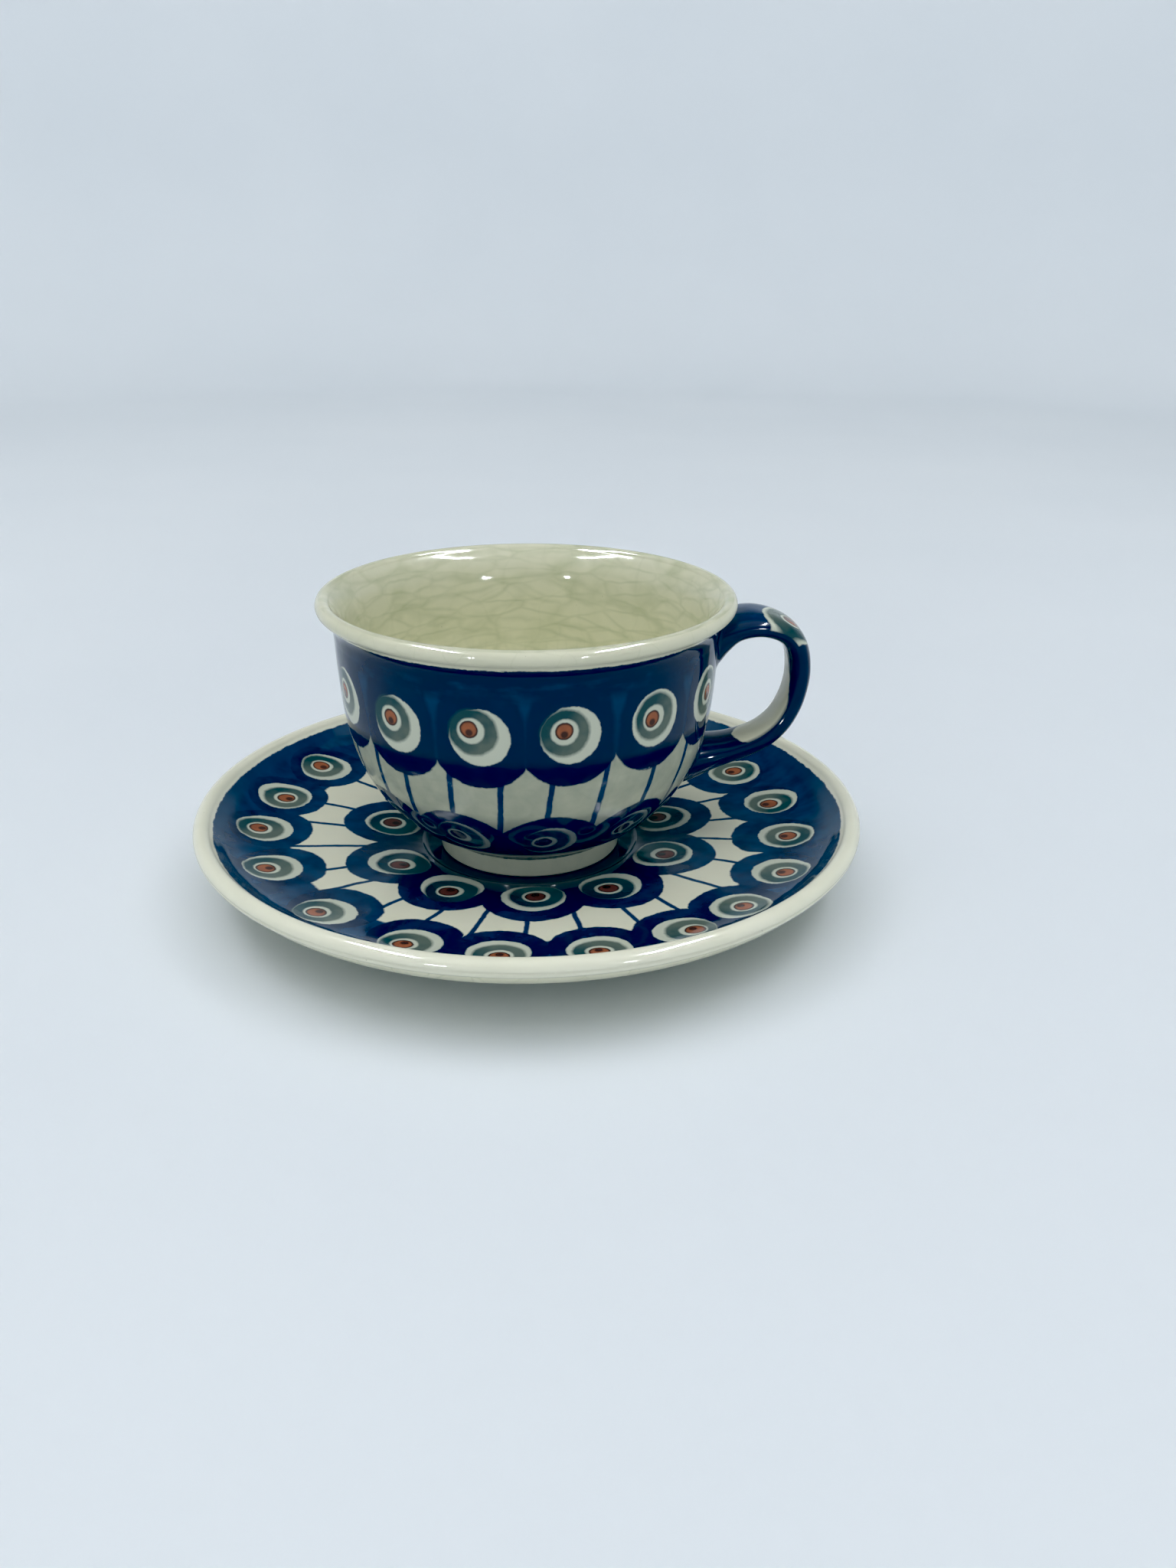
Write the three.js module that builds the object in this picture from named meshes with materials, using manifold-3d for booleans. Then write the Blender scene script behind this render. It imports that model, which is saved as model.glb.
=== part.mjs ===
// A stoneware cup standing on its saucer, in millimetres, +Z up.
// The origin is the centre of the saucer on the surface that it stands on.
// The cup's handle points along +X. Saucer and cup are turned pieces, the handle is a bent strap,
// and two thin layers of slip join the strap to the bowl.

import * as THREE from 'three';
import { mergeVertices } from 'three/addons/utils/BufferGeometryUtils.js';
import Module from 'manifold-3d';

const wasm = await Module();
wasm.setup();

// Saucer: radii from its axis, heights from the surface that it stands on.
const LIP_CENTRE_RADIUS = 77.94;
const LIP_CENTRE_HEIGHT = 18.1;
const LIP_BEAD_RADIUS = 2.06;
const WELL_RADIUS = 25.2;
const WELL_HEIGHT = 8.5;
const SAUCER_FOOT_OUTER = 46.5;
const SAUCER_FOOT_INNER = 43.1;
const SAUCER_RECESS = 3.5;
const FOOT_EDGE_RADIUS = 0.5;

// Cup: radii from its axis, heights from the bottom of its own foot.
const CUP_FOOT_OUTER = 21.9;
const CUP_FOOT_INNER = 18.3;
const CUP_RECESS = 2.5;
const CUP_FLOOR_HEIGHT = 7.4;
const RIM_CENTRE_RADIUS = 46.6;
const RIM_CENTRE_HEIGHT = 61.2;
const RIM_BEAD_RADIUS = 1.7;

// The cup stands in the saucer's well with a hair of clearance.
const REST_CLEARANCE = 0.2;
const CUP_REST_HEIGHT = WELL_HEIGHT + REST_CLEARANCE;

// Slip between bowl and strap, with the clearance that separate pieces keep.
const PIECE_GAP = 0.3;
const SLIP_THICKNESS = 0.7;
const SLIP_BEAD = 0.8;
const STRAP_CUT = PIECE_GAP + SLIP_THICKNESS + PIECE_GAP;

// The strap from its upper root to its lower one. Each row holds the distance of the strap's middle
// from the cup's axis, its height, half its thickness and half its width. The first and last rows
// lie inside the bowl's wall, so that the strap's ends are cut to the wall's curve.
const STRAP_ROWS = [
  [40.4, 50.3, 5.6, 11.4],
  [44.2, 52.9, 4.4, 10.4],
  [48.3, 54.7, 3.0, 9.7],
  [53.1, 55.4, 2.8, 9.1],
  [57.6, 54.5, 2.7, 8.4],
  [61.1, 52.4, 2.7, 7.5],
  [63.2, 49.0, 2.7, 6.8],
  [64.0, 44.0, 2.7, 6.3],
  [63.6, 39.2, 2.6, 6.2],
  [62.3, 34.8, 2.6, 6.2],
  [59.8, 30.4, 2.6, 6.2],
  [55.5, 26.7, 2.7, 6.3],
  [49.5, 24.2, 2.9, 6.5],
  [44.0, 22.8, 3.6, 7.1],
  [36.0, 21.2, 5.2, 9.0],
];
const STRAP_SQUARENESS = 2.6;
const STRAP_SIDES = 16;
const STRAP_STATIONS = 34;
const UPPER_ROOT_SHARE = 0.25;
const LOWER_ROOT_SHARE = 0.75;

// Fineness of the solids.
const TURNED_SIDES = 48;
const TURN_PER_STEP = THREE.MathUtils.degToRad(17);

const creamGlaze = { color: 0xc7cac0, roughness: 0.14, metalness: 0 };
const cobaltGlaze = { color: 0x0e2148, roughness: 0.12, metalness: 0 };
const slipGlaze = { color: 0x1c2c50, roughness: 0.16, metalness: 0 };

// How far a curve's direction turns from its start to its end.
function turning(curve) {
  const samples = 60;
  let total = 0;
  let before = curve.getTangentAt(0);
  for (let i = 1; i <= samples; i += 1) {
    const now = curve.getTangentAt(i / samples);
    total += Math.acos(THREE.MathUtils.clamp(before.dot(now), -1, 1));
    before = now;
  }
  return total;
}

// The points of an outline, closer together where it turns.
function outlinePoints(path) {
  const points = [path.curves[0].getPoint(0)];
  for (const curve of path.curves) {
    const steps = curve.isLineCurve ? 1 : Math.max(2, Math.ceil(turning(curve) / TURN_PER_STEP));
    for (let i = 1; i <= steps; i += 1) {
      const point = curve.getPointAt(i / steps);
      if (point.distanceTo(points.at(-1)) > 1e-4) {
        points.push(point);
      }
    }
  }
  return points;
}

function vectors(pairs) {
  return pairs.map(([radius, height]) => new THREE.Vector2(radius, height));
}

// The same geometry with shared corners merged and collapsed triangles left out.
function weld(geometry) {
  const bare = geometry.clone();
  bare.deleteAttribute('normal');
  bare.deleteAttribute('uv');
  const merged = mergeVertices(bare, 1e-5);
  const index = merged.getIndex().array;
  const kept = [];
  for (let i = 0; i < index.length; i += 3) {
    const [a, b, c] = [index[i], index[i + 1], index[i + 2]];
    if (a !== b && b !== c && c !== a) {
      kept.push(a, b, c);
    }
  }
  merged.setIndex(kept);
  merged.computeVertexNormals();
  return merged;
}

// A solid of revolution about +Z from an outline that runs anticlockwise, radius against height.
function turned(points) {
  const geometry = new THREE.LatheGeometry(points, TURNED_SIDES);
  geometry.rotateX(Math.PI / 2);
  return weld(geometry);
}

function toManifold(geometry) {
  return new wasm.Manifold(new wasm.Mesh({
    numProp: 3,
    vertProperties: new Float32Array(geometry.getAttribute('position').array),
    triVerts: new Uint32Array(geometry.getIndex().array),
  }));
}

function fromManifold(solid) {
  const mesh = solid.getMesh();
  const geometry = new THREE.BufferGeometry();
  geometry.setAttribute('position', new THREE.BufferAttribute(mesh.vertProperties, 3));
  geometry.setIndex(new THREE.BufferAttribute(mesh.triVerts, 1));
  geometry.computeVertexNormals();
  return geometry;
}

// The foot of a turned piece, from the edge of its recess to the outside of its ring.
function traceFoot(path, inner, outer, recess) {
  const edge = FOOT_EDGE_RADIUS;
  path.moveTo(0, recess);
  path.lineTo(inner - 1.2, recess);
  path.splineThru(vectors([[inner - 0.4, recess - 0.5], [inner, recess - 1.4], [inner, edge]]));
  path.absarc(inner + edge, edge, edge, Math.PI, 1.5 * Math.PI, false);
  path.lineTo(outer - edge, 0);
  path.absarc(outer - edge, edge, edge, -0.5 * Math.PI, 0, false);
}

// The saucer: foot ring, underside, rolled lip, sloping field and the well for the cup.
function saucerOutline() {
  const path = new THREE.Path();
  traceFoot(path, SAUCER_FOOT_INNER, SAUCER_FOOT_OUTER, SAUCER_RECESS);
  path.lineTo(SAUCER_FOOT_OUTER, 2.6);
  path.splineThru(vectors([
    [47.6, 4.2], [51, 5.0], [58, 6.1], [65, 7.9], [71, 10.3], [75.4, 12.9], [77.5, 14.8],
    [78.2, 16.06],
  ]));
  const top = THREE.MathUtils.degToRad(152);
  path.absarc(LIP_CENTRE_RADIUS, LIP_CENTRE_HEIGHT, LIP_BEAD_RADIUS, -1.45, top, false);
  path.splineThru(vectors([
    [74.6, 17.6], [72.2, 15.6], [69, 14.1], [64.4, 13.0], [56, 12.05], [46, 11.3],
    [35.35, 10.4], [29, 9.7], [26.6, 9.2],
  ]));
  path.splineThru(vectors([[25.9, 8.75], [WELL_RADIUS, WELL_HEIGHT]]));
  path.lineTo(0, WELL_HEIGHT);
  return outlinePoints(path);
}

// The outside of the bowl, from the top of its foot to the underside of its rim.
const BOWL_WALL = [
  [CUP_FOOT_OUTER, 4.3], [23.0, 5.3], [28.0, 8.4], [32.9, 12.9], [37.7, 19], [41.2, 27],
  [43.2, 36], [44.1, 46], [44.5, 54],
];
const RIM_FLARE = [[44.9, 56.6], [45.9, 58.5], [47.4, 59.7]];

// The cup's bowl: foot, belly, flared rim with a rolled edge, and the inside.
function bowlOutline() {
  const path = new THREE.Path();
  traceFoot(path, CUP_FOOT_INNER, CUP_FOOT_OUTER, CUP_RECESS);
  path.lineTo(...BOWL_WALL[0]);
  path.splineThru(vectors(BOWL_WALL.slice(1)));
  path.splineThru(vectors(RIM_FLARE));
  const inside = THREE.MathUtils.degToRad(155);
  path.absarc(RIM_CENTRE_RADIUS, RIM_CENTRE_HEIGHT, RIM_BEAD_RADIUS, -1.08, inside, false);
  path.splineThru(vectors([
    [43.6, 60.2], [41.9, 56.8], [41.0, 51], [40.5, 44], [39.6, 35.5], [37.4, 27],
    [33.6, 19.6], [28.4, 13.6], [21, 9.6], [12, 7.8], [6, CUP_FLOOR_HEIGHT],
  ]));
  path.lineTo(0, CUP_FLOOR_HEIGHT);
  return outlinePoints(path);
}

// A plug that fills the bowl out to its outer wall, grown by a distance square to that wall.
function bowlPlug(grown) {
  const path = new THREE.Path();
  path.moveTo(...BOWL_WALL[0]);
  path.splineThru(vectors(BOWL_WALL.slice(1)));
  path.splineThru(vectors(RIM_FLARE));
  const wall = outlinePoints(path);
  const shifted = wall.map((point, i) => {
    const before = wall[Math.max(i - 1, 0)];
    const after = wall[Math.min(i + 1, wall.length - 1)];
    const along = after.clone().sub(before).normalize();
    return new THREE.Vector2(point.x + along.y * grown, point.y - along.x * grown);
  });
  const floor = new THREE.Vector2(0, shifted[0].y);
  const lid = new THREE.Vector2(0, shifted.at(-1).y);
  return toManifold(turned([floor, ...shifted, lid]));
}

// A closed solid through rings of points, with a fan at each end. The rings run anticlockwise seen
// from the last of them.
function loft(rings) {
  const sides = rings[0].length;
  const corners = rings.flat();
  const faces = [];
  for (let i = 0; i < rings.length - 1; i += 1) {
    for (let j = 0; j < sides; j += 1) {
      const a = i * sides + j;
      const b = i * sides + ((j + 1) % sides);
      faces.push(a, b, b + sides, a, b + sides, a + sides);
    }
  }
  const last = (rings.length - 1) * sides;
  for (let j = 1; j < sides - 1; j += 1) {
    faces.push(0, j + 1, j);
    faces.push(last, last + j, last + j + 1);
  }
  const geometry = new THREE.BufferGeometry().setFromPoints(corners);
  geometry.setIndex(faces);
  geometry.computeVertexNormals();
  return geometry;
}

// The strap between two shares of its length, grown by a distance all round.
function strap(from, to, grown) {
  const middle = new THREE.CatmullRomCurve3(
    STRAP_ROWS.map(([distance, height]) => new THREE.Vector3(distance, 0, height)),
  );
  const halfSizes = new THREE.CatmullRomCurve3(
    STRAP_ROWS.map(([, , thickness, width]) => new THREE.Vector3(thickness, width, 0)),
  );
  const stations = Math.max(8, Math.round(STRAP_STATIONS * (to - from)));
  const rings = [];
  for (let i = 0; i <= stations; i += 1) {
    const share = from + (to - from) * (i / stations);
    const centre = middle.getPoint(share);
    const along = middle.getTangent(share);
    const outward = new THREE.Vector3(-along.z, 0, along.x);
    const half = halfSizes.getPoint(share);
    const ring = [];
    for (let j = 0; j < STRAP_SIDES; j += 1) {
      const angle = (j / STRAP_SIDES) * 2 * Math.PI;
      const across = rounded(Math.cos(angle)) * (half.x + grown);
      const sideways = -rounded(Math.sin(angle)) * (half.y + grown);
      ring.push(new THREE.Vector3(0, sideways, 0).addScaledVector(outward, across).add(centre));
    }
    rings.push(ring);
  }
  return toManifold(weld(loft(rings)));
}

// One coordinate of a rounded rectangle that a circle's coordinate is squared out to.
function rounded(value) {
  return Math.sign(value) * Math.abs(value) ** (2 / STRAP_SQUARENESS);
}

function handleSolid() {
  return strap(0, 1, 0).subtract(bowlPlug(STRAP_CUT));
}

// The slip under one root of the strap: a thin layer on the wall, a little wider than the root.
function slipSolid(from, to) {
  const layer = bowlPlug(PIECE_GAP + SLIP_THICKNESS).subtract(bowlPlug(PIECE_GAP));
  return strap(from, to, SLIP_BEAD).intersect(layer);
}

function piece(name, geometry, glaze) {
  const mesh = new THREE.Mesh(geometry, new THREE.MeshStandardMaterial(glaze));
  mesh.name = name;
  return mesh;
}

function buildHandle() {
  const handle = new THREE.Group();
  handle.add(piece('handle', fromManifold(handleSolid()), cobaltGlaze));
  handle.add(piece('handle_joint_upper', fromManifold(slipSolid(0, UPPER_ROOT_SHARE)), slipGlaze));
  handle.add(piece('handle_joint_lower', fromManifold(slipSolid(LOWER_ROOT_SHARE, 1)), slipGlaze));
  return handle;
}

function buildCup() {
  const cup = new THREE.Group();
  cup.add(piece('cup_bowl', turned(bowlOutline()), creamGlaze));
  cup.add(buildHandle());
  cup.position.z = CUP_REST_HEIGHT;
  return cup;
}

const group = new THREE.Group();
group.add(piece('saucer', turned(saucerOutline()), creamGlaze));
group.add(buildCup());

export default group;
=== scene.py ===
# A painted stoneware cup on its saucer: the fine meshes, glazes, floor, lights and camera.
# Outlines and patterns are in millimetres: a radius and a height, or distances round and along the
# surface. Meshes are in metres. Angles run anticlockwise from +X, where the handle is.

import math
import random

import bmesh
import bpy
from mathutils import Matrix, Vector


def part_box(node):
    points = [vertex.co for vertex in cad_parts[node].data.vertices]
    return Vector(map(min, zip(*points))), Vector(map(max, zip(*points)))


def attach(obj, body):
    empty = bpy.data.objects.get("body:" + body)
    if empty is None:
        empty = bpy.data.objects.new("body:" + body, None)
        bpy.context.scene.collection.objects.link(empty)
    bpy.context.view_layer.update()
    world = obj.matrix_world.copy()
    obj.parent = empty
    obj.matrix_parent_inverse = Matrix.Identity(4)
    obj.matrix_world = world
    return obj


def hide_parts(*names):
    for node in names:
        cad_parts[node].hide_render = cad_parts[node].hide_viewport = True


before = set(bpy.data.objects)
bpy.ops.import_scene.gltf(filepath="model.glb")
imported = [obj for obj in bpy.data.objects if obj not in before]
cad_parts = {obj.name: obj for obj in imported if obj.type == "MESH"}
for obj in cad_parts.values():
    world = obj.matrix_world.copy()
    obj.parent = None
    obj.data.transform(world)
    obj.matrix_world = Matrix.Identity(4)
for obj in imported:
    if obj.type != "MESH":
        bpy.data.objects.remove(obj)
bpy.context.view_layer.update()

MM = 0.001
TAU = 2 * math.pi

# The cup stands in the saucer's well. Its drawn foot reaches down over the frame's clearance.
CUP_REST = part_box("cup_bowl")[0].z / MM
FOOT_REACH = 0.15

TURNED_SIDES = 256
STRAP_SIDES = 64
STRAP_STATIONS = 150
STRAP_TURNS = [TAU * side / STRAP_SIDES for side in range(STRAP_SIDES)]

# Saucer, with heights from the surface that it stands on. A foot is its inner and outer radius and
# the height of the recess inside it. A bead is its centre and its own radius.
SAUCER_FOOT = (43.1, 46.5, 3.5)
SAUCER_UNDERSIDE = [
    (47.6, 4.2), (51, 5.0), (58, 6.1), (65, 7.9), (71, 10.3), (75.4, 12.9), (77.5, 14.8),
    (78.2, 16.06),
]
SAUCER_BEAD = (77.94, 18.1, 2.06)
SAUCER_FIELD = [
    (74.6, 17.6), (72.2, 15.6), (69, 14.1), (64.4, 13.0), (56, 12.05), (46, 11.3),
    (35.35, 10.4), (29, 9.7), (26.6, 9.2),
]
SAUCER_WELL = [(25.9, 8.75), (25.2, 8.5)]

# A fine groove runs round the outside of the saucer's bead: its depth, and its edges and its floor in
# degrees round the bead.
LIP_GROOVE = (0.22, (-13, -1), (-9, -5))

# Cup, with heights from the bottom of its own foot.
CUP_FOOT = (18.3, 21.9, 2.5)
FOOT_TOP = (21.9, 4.3)
BOWL_WALL = [
    (23.0, 5.3), (28.0, 8.4), (32.9, 12.9), (37.7, 19), (41.2, 27), (43.2, 36), (44.1, 46),
    (44.5, 54),
]
RIM_FLARE = [(44.9, 56.6), (45.9, 58.5), (47.4, 59.7)]
RIM_BEAD = (46.6, 61.2, 1.7)
BOWL_INSIDE = [
    (43.6, 60.2), (41.9, 56.8), (41.0, 51), (40.5, 44), (39.6, 35.5), (37.4, 27), (33.6, 19.6),
    (28.4, 13.6), (21, 9.6), (12, 7.8), (6, 7.4),
]

# The strap: the distance of its middle from the cup's axis, its height, half its thickness and half
# its width. The first two rows and the last two lie inside the bowl's wall.
STRAP_ROWS = [
    (36.6, 47.7, 5.6, 11.4), (40.4, 50.3, 5.6, 11.4), (44.2, 52.9, 4.4, 10.4),
    (48.3, 54.7, 3.0, 9.7), (53.1, 55.4, 2.8, 9.1), (57.6, 54.5, 2.7, 8.4),
    (61.1, 52.4, 2.7, 7.5), (63.2, 49.0, 2.7, 6.8), (64.0, 44.0, 2.7, 6.3),
    (63.6, 39.2, 2.6, 6.2), (62.3, 34.8, 2.6, 6.2), (59.8, 30.4, 2.6, 6.2),
    (55.5, 26.7, 2.7, 6.3), (49.5, 24.2, 2.9, 6.5), (44.0, 22.8, 3.6, 7.1),
    (36.0, 21.2, 5.2, 9.0), (28.0, 19.6, 5.2, 9.0),
]
STRAP_SQUARENESS = 2.6

# The strap's ends bite this far into the wall. Each root lies between two rows of the strap.
STRAP_BITE = 1.4
UPPER_ROOT = (0, 5)
LOWER_ROOT = (11, 16)

# The slip reaches this far over the wall and over the strap, and its edges sink in by a little. Its
# hidden corner lies inside the wall and inside the strap.
SLIP_ON_WALL = 1.8
SLIP_ON_STRAP = 1.8
SLIP_SUNK = 0.12
SLIP_IN_WALL = 0.9
SLIP_IN_STRAP = 0.7
SLIP_STEPS = 8


def srgb(red, green, blue):
    """A colour in display values from 0 to 255, as the linear colour that nodes use."""
    shares = [value / 255 for value in (red, green, blue)]
    return (*(s / 12.92 if s <= 0.04045 else ((s + 0.055) / 1.055) ** 2.4 for s in shares), 1.0)


CREAM = srgb(219, 216, 192)
CREAM_SHADE = srgb(206, 204, 176)
# A darker, warmer cream: painted shade deep inside the bowl.
DEEP_BOWL_SHADE = srgb(215, 212, 181)
# A paler copy of the cream for the saucer's top: painted light.
LIT_CREAM = srgb(233, 230, 210)
LIT_CREAM_MOTTLE = srgb(222, 220, 196)
# Partly a real stain, partly painted shade on the cup's lower body.
STAIN_AND_SHADE = srgb(152, 156, 140)
EYE_WHITE = srgb(199, 202, 184)
NAVY = srgb(2, 22, 66)
COBALT = srgb(2, 28, 71)
TEAL_BLUE = srgb(4, 60, 102)
STEM_BLUE = srgb(4, 56, 98)
GREY_GREEN = srgb(98, 107, 98)
DARK_GREEN = srgb(38, 68, 74)
DEEP_RING = srgb(42, 72, 80)
DEEP_RING_EDGE = srgb(6, 42, 62)
ORANGE = srgb(164, 95, 62)
MAROON = srgb(104, 54, 48)
DOT_EDGE = srgb(62, 32, 30)
CRACKLE = srgb(146, 156, 108)
RAW_CLAY = srgb(200, 192, 172)
RAW_CLAY_DARK = srgb(168, 156, 132)
SPECK = srgb(84, 70, 50)
PAPER = srgb(232, 235, 238)
PAPER_SHADE = srgb(226, 230, 234)
WALL_SHADE = srgb(96, 98, 101)
TENT = srgb(236, 244, 250)


# ------------------------------------ outlines and meshes

def on_curve(points, place):
    """A point on the smooth curve through the given ones. Whole places are the given points."""
    number = min(int(place), len(points) - 2)
    t = place - number
    b, c = Vector(points[number]), Vector(points[number + 1])
    a = Vector(points[max(number - 1, 0)])
    d = Vector(points[min(number + 2, len(points) - 1)])
    bend = (2 * a - 5 * b + 4 * c - d) * t * t + (3 * b - a - 3 * c + d) * t ** 3
    return 0.5 * (2 * b + (c - a) * t + bend)


class Outline:
    """Half the section of a turned piece, run anticlockwise. Each stretch belongs to a zone."""

    def __init__(self, radius, height):
        self.points = [Vector((radius, height))]
        self.zones = []

    def add(self, points, zone):
        for point in points:
            if (point - self.points[-1]).length > 1e-4:
                self.points.append(point)
                self.zones.append(zone)

    def line(self, radius, height, zone):
        """A straight stretch, with points near its ends so that it is shaded flat."""
        start, end = self.points[-1], Vector((radius, height))
        self.add([start.lerp(end, share) for share in (0.03, 0.5, 0.97, 1)], zone)

    def spline(self, points, zone, steps=8):
        held = [self.points[-1], *points]
        self.add([on_curve(held, i / steps) for i in range(1, steps * len(points) + 1)], zone)

    def arc(self, radius, height, bend, start, stop, zone, steps=8):
        turns = [math.radians(start + (stop - start) * i / steps) for i in range(steps + 1)]
        centre = Vector((radius, height))
        self.add([centre + bend * Vector((math.cos(t), math.sin(t))) for t in turns], zone)

    def lengths(self):
        """The distance along the outline to each of its points."""
        total = [0.0]
        for before, after in zip(self.points, self.points[1:]):
            total.append(total[-1] + (after - before).length)
        return total


def foot_outline(inner, outer, recess, edge=0.5, reach=0.0):
    """An outline that starts with a piece's foot: the recess, and the ring that it stands on, which
    reaches a little below zero if asked."""
    outline = Outline(0, recess)
    outline.line(inner - 1.2, recess, "under")
    outline.spline([(inner - 0.4, recess - 0.5), (inner, recess - 1.4), (inner, edge - reach)], "under")
    outline.arc(inner + edge, edge - reach, edge, 180, 270, "foot")
    outline.line(outer - edge, -reach, "foot")
    outline.arc(outer - edge, edge - reach, edge, -90, 0, "foot")
    return outline


def saucer_outline():
    outline = foot_outline(*SAUCER_FOOT)
    outline.line(SAUCER_FOOT[1], 2.6, "under")
    outline.spline(SAUCER_UNDERSIDE, "under")
    radius, height, bend = SAUCER_BEAD
    depth, (low, high), floor = LIP_GROOVE
    outline.arc(radius, height, bend, -83, low, "top", steps=10)
    outline.arc(radius, height, bend - depth, *floor, "top", steps=1)
    outline.arc(radius, height, bend, high, 152, "top", steps=20)
    outline.spline(SAUCER_FIELD, "top")
    outline.spline(SAUCER_WELL, "top")
    outline.line(0, SAUCER_WELL[-1][1], "top")
    return outline


def bowl_outline():
    """The bowl's outline, and the number of the point where its foot ends."""
    outline = foot_outline(*CUP_FOOT, reach=FOOT_REACH)
    foot_end = len(outline.points) - 1
    outline.line(*FOOT_TOP, "outside")
    outline.spline(BOWL_WALL, "outside")
    outline.spline(RIM_FLARE, "outside")
    outline.arc(*RIM_BEAD, -62, 60, "outside", steps=16)
    outline.arc(*RIM_BEAD, 60, 155, "inside", steps=12)
    outline.spline(BOWL_INSIDE, "inside")
    outline.line(0, BOWL_INSIDE[-1][1], "inside")
    return outline, foot_end


def mesh_object(name, points, faces, materials, choices, kept):
    """A smooth mesh object from points in millimetres. kept holds lists with a number for each point."""
    mesh = bpy.data.meshes.new(name)
    mesh.from_pydata([Vector(point) * MM for point in points], [], faces)
    for material in materials:
        mesh.materials.append(material)
    mesh.polygons.foreach_set("material_index", choices)
    mesh.polygons.foreach_set("use_smooth", [True] * len(faces))
    for label, values in kept.items():
        mesh.attributes.new(label, "FLOAT", "POINT").data.foreach_set("value", values)
    mesh.update()
    piece = bpy.data.objects.new(name, mesh)
    bpy.context.scene.collection.objects.link(piece)
    return piece


def turned(name, outline, along, lift, looks):
    """A piece swept round the axis. looks gives each zone's material, and along the distance that is
    kept at each point of the outline."""
    points, rings, distances = [], [], []
    for (radius, height), distance in zip(outline.points, along):
        sides = 1 if radius < 1e-6 else TURNED_SIDES
        rings.append((len(points), sides))
        distances += [distance] * sides
        for side in range(sides):
            angle = TAU * side / sides
            points.append((radius * math.cos(angle), radius * math.sin(angle), height + lift))
    zones = list(looks)
    faces, choices = [], []
    for (low, low_sides), (high, high_sides), zone in zip(rings, rings[1:], outline.zones):
        for side in range(TURNED_SIDES):
            after = side + 1
            corners = [low + side % low_sides, low + after % low_sides,
                       high + after % high_sides, high + side % high_sides]
            faces.append(list(dict.fromkeys(corners)))
            choices.append(zones.index(zone))
    return mesh_object(name, points, faces, list(looks.values()), choices, {"along": distances})


def closed_piece(name, points, faces, material, kept):
    """A closed mesh object of one material, from points with the cup's own heights. Its faces are
    turned to point out."""
    lifted = [point + Vector((0, 0, CUP_REST)) for point in points]
    piece = mesh_object(name, lifted, faces, [material], [0] * len(faces), kept)
    shape = bmesh.new()
    shape.from_mesh(piece.data)
    bmesh.ops.recalc_face_normals(shape, faces=shape.faces)
    shape.to_mesh(piece.data)
    shape.free()
    return piece


# ------------------------------------ the strap and its slip

def wall_radius(outline, height):
    """The bowl's outer radius at a height above its foot."""
    wall = [p for p, zone in zip(outline.points[1:], outline.zones) if zone == "outside"]
    for low, high in zip(wall, wall[1:]):
        if low.y <= height <= high.y:
            return low.x + (high.x - low.x) * (height - low.y) / max(high.y - low.y, 1e-9)
    return wall[0].x


def rounded(value):
    """One coordinate of a rounded rectangle that a circle's coordinate is squared out to."""
    return math.copysign(abs(value) ** (2 / STRAP_SQUARENESS), value)


def strap_point(place, turn):
    """A point on the strap's surface, from its place along the rows and its turn round the section."""
    distance, height, thickness, width = on_curve(STRAP_ROWS, place)
    before = on_curve(STRAP_ROWS, max(place - 0.05, 0))
    after = on_curve(STRAP_ROWS, min(place + 0.05, len(STRAP_ROWS) - 1))
    along = Vector((after[0] - before[0], after[1] - before[1])).normalized()
    out = rounded(math.cos(turn)) * thickness
    aside = -rounded(math.sin(turn)) * width
    return Vector((distance - along.y * out, aside, height + along.x * out))


def depth_at(outline, point):
    """How far a point lies outside the bowl's outer wall."""
    return math.hypot(point.x, point.y) - wall_radius(outline, point.z)


def place_at_depth(outline, turn, inside, outside, depth):
    """The place along the strap, between one in the wall and one outside it, where a line along its
    surface is at a given depth."""
    for _ in range(26):
        middle = (inside + outside) / 2
        if depth_at(outline, strap_point(middle, turn)) < depth:
            inside = middle
        else:
            outside = middle
    return (inside + outside) / 2


def build_strap(outline, material):
    """The strap, from a bite into the wall at its upper root to one at its lower root. Each point
    keeps its distances along and across, and outer runs from 1 on the outer face to -1 inside."""
    ends = [(place_at_depth(outline, turn, *UPPER_ROOT, -STRAP_BITE),
             place_at_depth(outline, turn, *reversed(LOWER_ROOT), -STRAP_BITE)) for turn in STRAP_TURNS]
    points, along, across, outer = [], [], [], []
    for station in range(STRAP_STATIONS + 1):
        share = station / STRAP_STATIONS
        for turn, (first, last) in zip(STRAP_TURNS, ends):
            point = strap_point(first + (last - first) * share, turn)
            points.append(point)
            before = points[-1 - STRAP_SIDES] if station else point
            along.append((along[-STRAP_SIDES] if station else 0.0) + (point - before).length)
            across.append(point.y)
            outer.append(rounded(math.cos(turn)))
    faces = []
    for station in range(STRAP_STATIONS):
        for side in range(STRAP_SIDES):
            a = station * STRAP_SIDES + side
            b = station * STRAP_SIDES + (side + 1) % STRAP_SIDES
            faces.append((a, b, b + STRAP_SIDES, a + STRAP_SIDES))
    for start in (0, STRAP_STATIONS * STRAP_SIDES):
        ring = list(range(start, start + STRAP_SIDES))
        middle = len(points)
        points.append(sum((points[i] for i in ring), Vector()) / STRAP_SIDES)
        along.append(along[start])
        across.append(0.0)
        outer.append(0.0)
        faces += [(a, b, middle) for a, b in zip(ring, ring[1:] + ring[:1])]
    kept = {"along": along, "across": across, "outer": outer}
    return closed_piece("handle_glazed", points, faces, material, kept)


def on_wall(outline, point, depth):
    """The point moved square to the axis, to a depth from the bowl's outer wall."""
    size = math.hypot(point.x, point.y)
    wanted = wall_radius(outline, point.z) + depth
    return Vector((point.x * wanted / size, point.y * wanted / size, point.z))


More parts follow.
